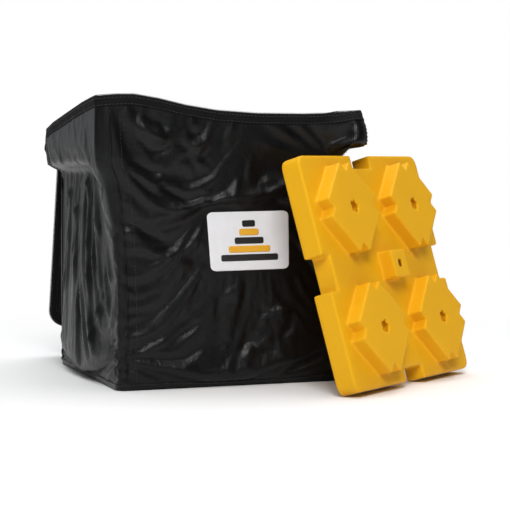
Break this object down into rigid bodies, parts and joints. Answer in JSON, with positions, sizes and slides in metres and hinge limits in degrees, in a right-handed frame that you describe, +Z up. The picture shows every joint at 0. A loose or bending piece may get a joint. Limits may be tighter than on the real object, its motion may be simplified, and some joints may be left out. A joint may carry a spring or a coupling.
{
  "type": "leveling block set",
  "caption": "Square nesting leveling blocks with notched pads, stacked in a soft zip-top carrying bag with a lid and handle, and a loose block leaning on the bag.",
  "frame": {"origin": "centre of the bag's bottom face, on the surface it stands on", "axes": "+X along the bag's front to the right, +Y from the front to the back, +Z up"},
  "size_m": [0.3575, 0.4016, 0.256],
  "materials": {
    "bag_cloth": "coated nylon, semi-gloss",
    "zip_tape": "woven tape, matt",
    "zip_teeth": "moulded coil, satin",
    "zip_metal": "black enamel",
    "webbing": "woven webbing, matt",
    "label": "satin vinyl",
    "block_plastic": "moulded, satin"
  },
  "bodies": {
    "bag": {"bottom_panel": "bag_cloth", "front_panel": "bag_cloth", "back_panel": "bag_cloth", "left_panel": "bag_cloth", "right_panel": "bag_cloth", "corner_seam_front_left": "bag_cloth", "corner_seam_front_right": "bag_cloth", "corner_seam_back_left": "bag_cloth", "corner_seam_back_right": "bag_cloth", "label_patch": "label", "zip_tape_bag": "zip_tape", "zip_teeth_bag": "zip_teeth", "zip_stop_left": "zip_metal", "zip_stop_right": "zip_metal", "hinge_binding": "zip_tape"},
    "lid": {"lid_panel": "bag_cloth", "zip_tape_lid": "zip_tape", "zip_teeth_lid": "zip_teeth", "handle_strap": "webbing"},
    "slider": {"zip_slider": "zip_metal"},
    "pull": {"zip_pull": "zip_metal"},
    "block_1": {"block_1_deck": "block_plastic", "block_1_pads": "block_plastic", "block_1_walls": "block_plastic", "block_1_ribs": "block_plastic"},
    "block_2": {"block_2_deck": "block_plastic", "block_2_pads": "block_plastic", "block_2_walls": "block_plastic", "block_2_ribs": "block_plastic"},
    "block_3": {"block_3_deck": "block_plastic", "block_3_pads": "block_plastic", "block_3_walls": "block_plastic", "block_3_ribs": "block_plastic"},
    "block_4": {"block_4_deck": "block_plastic", "block_4_pads": "block_plastic", "block_4_walls": "block_plastic", "block_4_ribs": "block_plastic"},
    "block_5": {"block_5_deck": "block_plastic", "block_5_pads": "block_plastic", "block_5_walls": "block_plastic", "block_5_ribs": "block_plastic"},
    "block_6": {"block_6_deck": "block_plastic", "block_6_pads": "block_plastic", "block_6_walls": "block_plastic", "block_6_ribs": "block_plastic"},
    "block_7": {"block_7_deck": "block_plastic", "block_7_pads": "block_plastic", "block_7_walls": "block_plastic", "block_7_ribs": "block_plastic"},
    "block_8": {"block_8_deck": "block_plastic", "block_8_pads": "block_plastic", "block_8_walls": "block_plastic", "block_8_ribs": "block_plastic"},
    "block_9": {"block_9_deck": "block_plastic", "block_9_pads": "block_plastic", "block_9_walls": "block_plastic", "block_9_ribs": "block_plastic"},
    "leaning": {"block_leaning_deck": "block_plastic", "block_leaning_pads": "block_plastic", "block_leaning_walls": "block_plastic", "block_leaning_ribs": "block_plastic"}
  },
  "joints": [
    {"name": "lid_hinge", "type": "hinge", "parent": "bag", "child": "lid", "pos_m": [0, 0.113, 0.2474], "axis": [-1, 0, 0], "range_deg": [-251.4, 0]},
    {"name": "zip_run", "type": "slide", "parent": "bag", "child": "slider", "axis": [0, -0.9985, 0.054], "range_m": [0, 0.17]},
    {"name": "pull_swing", "type": "hinge", "parent": "slider", "child": "pull", "pos_m": [0.1165, 0.09, 0.24513], "axis": [0, -0.9985, 0.054], "range_deg": [0, 150]},
    {"name": "block_1_lift", "type": "slide", "parent": "bag", "child": "block_1", "axis": [0, 0, 1], "range_m": [0, 0.274]},
    {"name": "block_2_lift", "type": "slide", "parent": "block_1", "child": "block_2", "axis": [0, 0, 1], "range_m": [0, 0.2537]},
    {"name": "block_3_lift", "type": "slide", "parent": "block_2", "child": "block_3", "axis": [0, 0, 1], "range_m": [0, 0.2334]},
    {"name": "block_4_lift", "type": "slide", "parent": "block_3", "child": "block_4", "axis": [0, 0, 1], "range_m": [0, 0.2131]},
    {"name": "block_5_lift", "type": "slide", "parent": "block_4", "child": "block_5", "axis": [0, 0, 1], "range_m": [0, 0.1928]},
    {"name": "block_6_lift", "type": "slide", "parent": "block_5", "child": "block_6", "axis": [0, 0, 1], "range_m": [0, 0.1725]},
    {"name": "block_7_lift", "type": "slide", "parent": "block_6", "child": "block_7", "axis": [0, 0, 1], "range_m": [0, 0.1522]},
    {"name": "block_8_lift", "type": "slide", "parent": "block_7", "child": "block_8", "axis": [0, 0, 1], "range_m": [0, 0.1319]},
    {"name": "block_9_lift", "type": "slide", "parent": "block_8", "child": "block_9", "axis": [0, 0, 1], "range_m": [0, 0.1116]},
    {"name": "leaning_block_away", "type": "slide", "parent": "bag", "child": "leaning", "axis": [0.5864, -0.81, 0], "range_m": [0, 0.2]}
  ]
}
